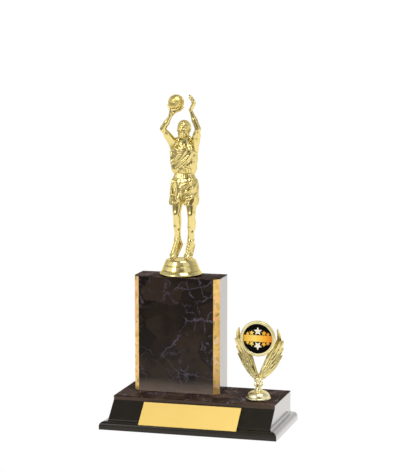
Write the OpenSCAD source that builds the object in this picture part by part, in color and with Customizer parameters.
// Column trophy: a marble-look column and a throwing basketball player on a moulded base,
// with a small winged disc holder beside them. The origin is the centre of the base's
// footprint, on the surface it stands on. +Z is up and the front faces -Y.

/* [Base] */
// Width of the base's flat top
base_w = 141; // [125:1:180]
// Depth of the base's flat top
base_d = 58.5; // [56:0.5:75]
// Height of the base
base_h = 25.5; // [24:0.5:32]
// Height of the upright band under the top's front edge
band_h = 3.5; // [2:0.1:5]
// How far the sloping front face runs forward
slope_run = 15; // [12:0.5:18]
// How far the bead at the foot stands out
bead_out = 6.5; // [5.5:0.1:8]

/* [Column] */
// Width of the column across its gold corners
column_w = 76; // [60:1:84]
// Depth of the column
column_d = 28.5; // [25:0.5:30]
// Height of the column
column_h = 100; // [60:5:150]
// Centre of the column, left of the base's centre
column_left = 22.75; // [20:0.25:26]
// Gap between the column's back and the base's back edge
column_back_gap = 5; // [3:0.5:8]
// Run of a gold corner strip along the column's front
strip_x = 4.8; // [4:0.1:7]
// Run of a gold corner strip along the column's side
strip_y = 4.7; // [4:0.1:7]

/* [Figure] */
// Radius of the figure's stepped base
figure_base_r = 18.2; // [15:0.1:20]
// Height of the figure's stepped base
figure_base_h = 13.7; // [10:0.1:16]
// Radius of the basketball
ball_r = 6.8; // [5:0.1:8]

/* [Disc holder] */
// Distance of the holder to the right of the base's centre
holder_right = 51.5; // [46:0.5:54]
// Height of the ring's centre above the base's top
ring_z = 52.5; // [50:0.5:56]
// Radius of the ring's outside
ring_r = 15.2; // [14.5:0.1:16]
// Radius of the disc
disc_r = 12.5; // [10:0.1:12.7]

/* [Plate] */
// Width of the engraving plate
plate_w = 85; // [60:1:100]
// Height of the engraving plate along the slope
plate_h = 23.5; // [18:0.5:23.5]

/* [Hidden] */

$fn = 64;
sheet = 0.6;                       // thickness of every laminate sheet
strip_t = 0.68;                    // thickness of the gold corner strips
felt_t = 1;
foot_gap = 0.3;                    // the mouldings end this far above the table
cove_r = 1.5;                      // hollow between a side face and the bead
bead_r = 3.8;                      // rounding of the bead
bead_z = 7.1;                      // top of the bead
side_z = bead_z + cove_r;          // foot of the side and sloping faces

front_y = -(base_d + slope_run + bead_out) / 2;   // front of the bead
back_y = -front_y;
slope_foot_y = front_y + bead_out;
top_front_y = slope_foot_y + slope_run;
half_w = base_w / 2;
core_half_w = half_w - sheet;
core_top = base_h - sheet;
slope_top_z = base_h - band_h;
slope_drop = slope_top_z - side_z;
slope_len = norm([slope_run, slope_drop]);
slope_tilt = atan2(slope_drop, slope_run);

column_x = -column_left;
column_back_y = back_y - column_back_gap;
column_front_y = column_back_y - column_d;
column_mid_y = (column_front_y + column_back_y) / 2;
column_top = base_h + column_h;

figure_x = column_x + 0.5;
figure_y = column_mid_y;
holder_y = 2.2;

rod_r = 2.5;
rod_clear_r = 2.9;
thread_gap = 0.05;
nut_h = 4.5;
washer_t = 1.2;
pocket_r = 8;
pocket_h = 9;
rod_foot_z = felt_t + 1.5;
washer_z = felt_t + pocket_h - washer_t;
insert_r = 4.5;
insert_h = 8;
rod_into_figure = 7;
screw_r = 2;
screw_into_foot = 6;
screw_head_r = 3.6;
screw_head_h = 2.6;
screw_pocket_r = 6;

holder_foot_r = 10.5;
holder_foot_h = 7.7;
tape_t = 1.5;
plate_t = 0.6;
plate_top_gap = 2.2;

// ---- outlines -------------------------------------------------------------

// Foot bead: x is the distance out from the side face, y is the height.
module bead_outline() {
    translate([0, foot_gap]) square([bead_out, bead_z - bead_r - foot_gap]);
    translate([0, foot_gap]) square([bead_out - bead_r, bead_z - foot_gap]);
    translate([bead_out - bead_r, bead_z - bead_r]) circle(bead_r);
    difference() {
        translate([0, bead_z]) square(cove_r);
        translate([cove_r, bead_z + cove_r]) circle(cove_r);
    }
}

// Outline of the base's end, seen from the side: x is Y, y is Z.
module base_end_outline(low) {
    polygon([[slope_foot_y, low], [slope_foot_y, side_z], [top_front_y, slope_top_z],
        [top_front_y, core_top], [back_y, core_top], [back_y, low]]);
}

// Plan of the column without its two front corners.
module column_plan(skin) {
    w = column_w / 2 - skin;
    cut_x = strip_x - skin * 0.4;
    cut_y = strip_y - skin * 0.4;
    f = column_front_y + skin;
    polygon([[-w + cut_x, f], [w - cut_x, f], [w, f + cut_y],
        [w, column_back_y], [-w, column_back_y], [-w, f + cut_y]]);
}

module drill(x, y, z, r, h) {
    translate([x, y, z]) cylinder(r = r, h = h);
}

module along_x(x, length) {
    translate([x, 0, 0]) rotate([90, 0, 90]) linear_extrude(length) children();
}

// ---- base -----------------------------------------------------------------

module base_core() {
    front = top_front_y + sheet;
    color([0.62, 0.50, 0.36])
    difference() {
        translate([-core_half_w, front, felt_t])
            cube([2 * core_half_w, back_y - front, core_top - felt_t]);
        drill(column_x, column_mid_y, 0, rod_clear_r, base_h);
        drill(column_x, column_mid_y, 0, pocket_r, felt_t + pocket_h);
        drill(holder_right, holder_y, 0, screw_r + 0.3, base_h);
        drill(holder_right, holder_y, 0, screw_pocket_r, felt_t + pocket_h);
    }
}

module base_top_laminate() {
    color([0.26, 0.19, 0.16])
    difference() {
        union() {
            translate([-half_w, top_front_y, core_top]) cube([base_w, base_d, sheet]);
            translate([-half_w, top_front_y, slope_top_z]) cube([base_w, sheet, band_h]);
        }
        drill(column_x, column_mid_y, 0, rod_clear_r, base_h + 1);
        drill(holder_right, holder_y, 0, screw_r + 0.3, base_h + 1);
    }
}

module base_side(x) {
    color([0.16, 0.15, 0.14]) difference() {
        along_x(x, sheet) base_end_outline(foot_gap);
        translate([-half_w - 1, top_front_y - 1, slope_top_z])
            cube([base_w + 2, sheet + 1, band_h]);
    }
}

module base_side_left() { base_side(-half_w); }
module base_side_right() { base_side(core_half_w); }

// Keeps the front of the two 45 degree mitre planes, or what lies behind them.
module mitre(front) {
    reach = half_w + bead_out + 20;
    y_at_reach = slope_foot_y - (reach - half_w);
    linear_extrude(base_h) polygon(front
        ? [[-reach, y_at_reach], [-half_w, slope_foot_y], [-half_w, back_y],
            [half_w, back_y], [half_w, slope_foot_y], [reach, y_at_reach]]
        : [[half_w, slope_foot_y], [reach, y_at_reach], [reach, back_y], [half_w, back_y]]);
}

module front_moulding() {
    color([0.13, 0.12, 0.11]) {
        intersection() {
            translate([-half_w - bead_out, slope_foot_y, 0])
                rotate([90, 0, 90]) linear_extrude(base_w + 2 * bead_out)
                    mirror([1, 0]) bead_outline();
            mitre(true);
        }
        translate([-core_half_w, 0, 0]) rotate([90, 0, 90]) linear_extrude(2 * core_half_w)
            polygon([[slope_foot_y, foot_gap], [slope_foot_y, side_z],
                [top_front_y, slope_top_z], [top_front_y + sheet, slope_top_z],
                [top_front_y + sheet, foot_gap]]);
    }
}

module side_bead() {
    color([0.14, 0.13, 0.12])
    intersection() {
        translate([half_w, back_y, 0]) rotate([90, 0, 0])
            linear_extrude(back_y - front_y) bead_outline();
        mitre(false);
    }
}

module side_bead_left() { mirror([1, 0, 0]) side_bead(); }
module side_bead_right() { side_bead(); }

module base_felt() {
    inset = 1.5;
    color([0.08, 0.08, 0.08])
    translate([-core_half_w + inset, top_front_y + inset, 0])
        cube([2 * (core_half_w - inset), base_d - 2 * inset, felt_t]);
}

// ---- column ---------------------------------------------------------------

module column_core() {
    color([0.62, 0.50, 0.36])
    difference() {
        translate([column_x, 0, base_h]) linear_extrude(column_h - sheet) column_plan(sheet);
        drill(column_x, column_mid_y, base_h - 1, rod_clear_r, column_h + 2);
    }
}

module column_front_laminate() {
    w = column_w - 2 * strip_x;
    color([0.20, 0.16, 0.14])
    translate([column_x - w / 2, column_front_y, base_h]) cube([w, sheet, column_h - sheet]);
}

module column_side(side) {
    x = side > 0 ? column_x + column_w / 2 - sheet : column_x - column_w / 2;
    color([0.16, 0.15, 0.14])
    translate([x, column_front_y + strip_y, base_h])
        cube([sheet, column_d - strip_y, column_h - sheet]);
}

module column_side_left() { column_side(-1); }
module column_side_right() { column_side(1); }

module column_top_laminate() {
    color([0.26, 0.19, 0.16])
    difference() {
        translate([column_x, 0, column_top - sheet]) linear_extrude(sheet) column_plan(0);
        drill(column_x, column_mid_y, base_h, rod_clear_r, column_h + 1);
    }
}

// A flat strip that fills the cut corner out to the column's own outline.
module gold_strip(side) {
    face = norm([strip_x, strip_y]);
    color([0.93, 0.72, 0.33])
    translate([column_x + side * (column_w / 2 - strip_x), column_front_y, base_h])
        rotate([0, 0, side * atan2(strip_y, strip_x)])
            translate([side > 0 ? 0 : -face, 0, 0])
                cube([face, strip_t, column_h]);
}

module gold_strip_left() { gold_strip(-1); }
module gold_strip_right() { gold_strip(1); }

// ---- fixings --------------------------------------------------------------

module tie_rod() {
    color("silver") drill(column_x, column_mid_y, rod_foot_z, rod_r,
        column_top + rod_into_figure - rod_foot_z);
}

module tie_nut() {
    color("silver")
    translate([column_x, column_mid_y, washer_z - nut_h]) difference() {
        cylinder(d = 8 / cos(30), h = nut_h, $fn = 6);
        translate([0, 0, -1]) cylinder(r = rod_r + thread_gap, h = nut_h + 2);
    }
}

module washer(r, hole) {
    difference() {
        cylinder(r = r, h = washer_t);
        translate([0, 0, -1]) cylinder(r = hole, h = washer_t + 2);
    }
}

module tie_washer() {
    color("silver") translate([column_x, column_mid_y, washer_z]) washer(7, rod_r + 0.2);
}

module figure_insert() {
    color([0.80, 0.62, 0.30])
    translate([column_x, column_mid_y, column_top]) difference() {
        cylinder(r = insert_r, h = insert_h);
        translate([0, 0, -1]) cylinder(r = rod_r + thread_gap, h = insert_h);
    }
}

module holder_screw() {
    color("silver") translate([holder_right, holder_y, 0]) {
        translate([0, 0, washer_z - screw_head_h])
            cylinder(r = screw_head_r, h = screw_head_h);
        translate([0, 0, washer_z])
            cylinder(r = screw_r, h = base_h + screw_into_foot - washer_z);
    }
}

module holder_washer() {
    color("silver") translate([holder_right, holder_y, washer_z]) washer(5, screw_r + 0.2);
}

// ---- figure ---------------------------------------------------------------

// Three stepped tiers, each a shallow cone with a thin groove under the next. The lowest
// rolls under to a smaller foot.
module figure_base() {
    r = figure_base_r;
    h = figure_base_h;
    color([0.85, 0.75, 0.42])
    translate([figure_x, figure_y, column_top]) difference() {
        rotate_extrude() polygon([[0, 0], [r - 3.6, 0], [r - 1.4, 0.25], [r - 0.2, 0.8],
            [r, 1.4], [r - 0.3, 2.1], [r - 1.75, h * 0.31], [r - 2.5, h * 0.325],
            [r - 2.5, h * 0.347], [r - 1.95, h * 0.365], [r - 3.45, h * 0.635],
            [r - 4.15, h * 0.65], [r - 4.15, h * 0.67], [r - 3.6, h * 0.69],
            [r - 5.2, h * 0.94], [r - 5.9, h], [0, h]]);
        translate([column_x - figure_x, column_mid_y - figure_y, -1])
            cylinder(r = insert_r, h = insert_h + 1);
    }
}

// Body points, from the middle of the figure's base at the column's top.
ball_at = [-1.6, -8, 148.6];
head_at = [3, -0.9, 125.8];
neck_at = [3, 0.8, 114];
chest_at = [3.1, 0.2, 108];
waist_at = [3.2, 0.4, 89];
hip_r_at = [-1.8, 0.2, 79];
hip_l_at = [8.4, 0.2, 79];
knee_r_at = [-2, -5.4, 53.5];
knee_l_at = [11.2, -5.8, 53];
ankle_r_at = [-3.2, 1.6, 31.5];
ankle_l_at = [8.5, 1.6, 30.5];
heel_r_at = [-1.6, 3, 27];
heel_l_at = [8.7, 3.4, 26];
toe_r_at = [-5.4, -2.4, 16];
toe_l_at = [7.2, -2.8, 16];
shoulder_r_at = [-5.4, 0.4, 113.2];
shoulder_l_at = [11.8, 0.4, 113.2];
elbow_r_at = [-13.3, -8, 126];
elbow_l_at = [17.9, -9.5, 126.6];
wrist_r_at = [-5.6, -11, 137.4];
wrist_l_at = [11.9, -10.5, 142.4];
palm_r_at = [-3.6, -9.4, 139.9];
palm_l_at = [14.4, -10.5, 148.6];
fingers_r_at = [0.6, -8.4, 141.3];
fingers_l_at = [11.6, -10.8, 154.4];

module ball_of(at, r) { translate(at) sphere(r, $fn = 20); }

module limb(a, ra, b, rb) {
    hull() {
        ball_of(a, ra);
        ball_of(b, rb);
    }
}

module player() {
    color([0.85, 0.75, 0.42])
    translate([figure_x, figure_y, column_top]) {
        hull() {
            ball_of(head_at + [0, 0.4, 1.6], 5.5);
            ball_of(head_at + [0, -2.6, -3.6], 3.2);
        }
        limb(neck_at, 4, head_at + [0, 0.6, -3], 3.8);
        hull() {
            ball_of(shoulder_r_at, 3.2);
            ball_of(shoulder_l_at, 3.2);
            ball_of(chest_at + [-5.6, -1, 0], 5.8);
            ball_of(chest_at + [5.6, -1, 0], 5.8);
        }
        hull() {
            ball_of(chest_at + [-5.6, -1, 0], 5.8);
            ball_of(chest_at + [5.6, -1, 0], 5.8);
            ball_of(waist_at + [-4, 0, 1], 5.2);
            ball_of(waist_at + [4, 0, 1], 5.2);
        }
        for (leg = [[hip_r_at, knee_r_at, ankle_r_at, heel_r_at, toe_r_at],
                [hip_l_at, knee_l_at, ankle_l_at, heel_l_at, toe_l_at]]) {
            hull() {
                ball_of(waist_at, 5.2);
                ball_of(leg[0], 7);
                ball_of(leg[0] + [(leg[1][0] - leg[0][0]) * 0.6, -2.4, -12], 6.2);
            }
            limb(leg[0], 5.5, leg[1], 3.4);
            limb(leg[1], 3.3, leg[2] + [0, 0, 13], 3.4);
            limb(leg[2] + [0, 0, 13], 3.4, leg[2], 2.4);
            hull() {
                ball_of(leg[2], 2.6);
                ball_of(leg[3], 2.4);
                ball_of(leg[4], 2.7);
            }
        }
        for (arm = [[shoulder_r_at, elbow_r_at, wrist_r_at, palm_r_at, fingers_r_at],
                [shoulder_l_at, elbow_l_at, wrist_l_at, palm_l_at, fingers_l_at]]) {
            limb(arm[0], 3.4, arm[1], 2.3);
            limb(arm[1], 2.3, arm[2], 1.5);
            limb(arm[2], 1.5, arm[3], 1.7);
            limb(arm[3], 1.7, arm[4], 0.9);
        }
    }
}

module basketball() {
    color([0.85, 0.75, 0.42])
    translate([figure_x, figure_y, column_top] + ball_at) sphere(ball_r);
}

// ---- disc holder ----------------------------------------------------------

module holder_foot() {
    r = holder_foot_r;
    h = holder_foot_h;
    steps = 10;
    dome = [for (i = [0:steps]) let (a = i * 78 / steps)
        [0.6 + (r - 0.9) * cos(a), 1.3 + (h - 1.5) * sin(a)]];
    color([0.85, 0.76, 0.45])
    translate([holder_right, holder_y, base_h]) difference() {
        rotate_extrude() polygon(concat([[0, 0], [r - 0.3, 0], [r, 0.4], [r, 1.1]], dome,
            [[0, h]]));
        translate([0, 0, -1]) cylinder(r = screw_r + thread_gap, h = screw_into_foot + 1.5);
    }
}

// Waisted neck, ring of petals and the knot that carries both wings.
module holder_stem() {
    color([0.85, 0.76, 0.45])
    translate([holder_right, holder_y, base_h]) rotate_extrude()
        polygon([[0, holder_foot_h - 0.5], [3.1, holder_foot_h - 0.5], [2.9, 8.6], [2.3, 9.6],
            [2.6, 11], [3.4, 12.6], [3.8, 14.3], [3.5, 15.8], [2.9, 17.2], [2.6, 18.6],
            [1.8, 20], [0, 20.6]]);
}

// Three overlapping rows of feathers, each row thinner and longer than the last: a thickness
// and an outline, measured from the holder's axis and the base's top.
wing_rows = [
    [4.4, [[1.4, 16], [1.8, 21], [4.6, 27.5], [7.6, 33.5], [10, 35], [12, 32], [11.5, 27],
        [9.4, 21.5], [6, 17.5], [3, 15.5]]],
    [3.2, [[2.4, 20], [5.2, 29], [9.6, 38], [12.6, 45], [14.4, 46], [16.8, 42], [16.6, 34],
        [14.4, 27.5], [10.6, 22], [6, 18]]],
    [2, [[4, 24], [9.4, 37.5], [13.2, 44.5], [14.6, 52], [15.3, 61], [17.4, 56.5],
        [18.4, 52.4], [20.8, 49.4], [20.2, 42], [17.6, 34.5], [13, 26]]]];

module wing() {
    color([0.85, 0.76, 0.45])
    translate([holder_right, holder_y, base_h])
        for (row = wing_rows)
            translate([0, row[0] / 2, 0]) rotate([90, 0, 0])
                linear_extrude(row[0]) polygon(row[1]);
}

module wing_left() { translate([2 * holder_right, 0, 0]) mirror([1, 0, 0]) wing(); }
module wing_right() { wing(); }

ring_depth = 4;
ring_wall = 1.2;
disc_t = 0.8;
foil_t = 0.15;
ring_front = holder_y - wing_rows[1][0] / 2 - ring_depth;

module facing_front(y) {
    translate([holder_right, y, base_h + ring_z]) rotate([90, 0, 0]) children();
}

// Shallow cup with a rounded rim and a closed back.
module disc_ring() {
    lip = ring_r - disc_r - 0.1;
    color([0.78, 0.70, 0.46])
    facing_front(ring_front) translate([0, 0, -ring_depth]) {
        cylinder(r = ring_r - 0.8, h = ring_wall);
        difference() {
            cylinder(r = ring_r, h = ring_depth - lip / 2);
            translate([0, 0, -1]) cylinder(r = disc_r + 0.1, h = ring_depth + 2);
        }
        translate([0, 0, ring_depth - lip / 2]) rotate_extrude()
            translate([disc_r + 0.1 + lip / 2, 0]) circle(lip / 2);
    }
}

module disc() {
    color([0.06, 0.06, 0.06])
    facing_front(ring_front) translate([0, 0, -ring_depth + ring_wall])
        cylinder(r = disc_r, h = disc_t);
}

module on_disc() {
    facing_front(ring_front) translate([0, 0, -ring_depth + ring_wall + disc_t]) children();
}

module star(tips, outer, inner) {
    polygon([for (i = [0:2 * tips - 1])
        let (r = i % 2 == 0 ? outer : inner, a = 90 + i * 180 / tips) [r * cos(a), r * sin(a)]]);
}

// A blank band across the disc, edged with small stars above and below.
module disc_band() {
    band = disc_r * 0.44;
    color([0.95, 0.72, 0.25])
    on_disc() linear_extrude(foil_t) intersection() {
        circle(disc_r - 0.1);
        union() {
            translate([-disc_r, -band / 2]) square([2 * disc_r, band]);
            for (up = [-1, 1]) for (side = [-1, 1]) {
                translate([side * disc_r * 0.42, up * disc_r * 0.37]) rotate(90 - up * 90)
                    star(5, disc_r * 0.185, disc_r * 0.088);
                translate([side * disc_r * 0.70, up * disc_r * 0.30]) rotate(90 - up * 90)
                    star(5, disc_r * 0.15, disc_r * 0.072);
            }
        }
    }
}

module disc_stars() {
    color([0.98, 0.90, 0.65])
    on_disc() linear_extrude(foil_t) for (up = [-1, 1])
        translate([0, up * disc_r * 0.49]) rotate(90 - up * 90)
            star(5, disc_r * 0.3, disc_r * 0.14);
}

// ---- engraving plate ------------------------------------------------------

// Places children on the sloping face: x across, y down the slope, z out of it.
module on_slope() {
    translate([0, top_front_y, slope_top_z])
        rotate([slope_tilt, 0, 0]) mirror([0, 1, 0]) children();
}

module engraving_plate() {
    color([0.96, 0.80, 0.42])
    on_slope() translate([-plate_w / 2, plate_top_gap, tape_t]) cube([plate_w, plate_h, plate_t]);
}

module plate_tape() {
    inset = 2;
    color([0.92, 0.92, 0.90])
    on_slope() translate([-plate_w / 2 + inset, plate_top_gap + inset, 0])
        cube([plate_w - 2 * inset, slope_len - plate_top_gap - 2 * inset, tape_t]);
}

base_core();
base_top_laminate();
base_side_left();
base_side_right();
front_moulding();
side_bead_left();
side_bead_right();
base_felt();
column_core();
column_front_laminate();
column_side_left();
column_side_right();
column_top_laminate();
gold_strip_left();
gold_strip_right();
tie_rod();
tie_nut();
tie_washer();
figure_insert();
figure_base();
player();
basketball();
holder_screw();
holder_washer();
holder_foot();
holder_stem();
wing_left();
wing_right();
disc_ring();
disc();
disc_band();
disc_stars();
engraving_plate();
plate_tape();
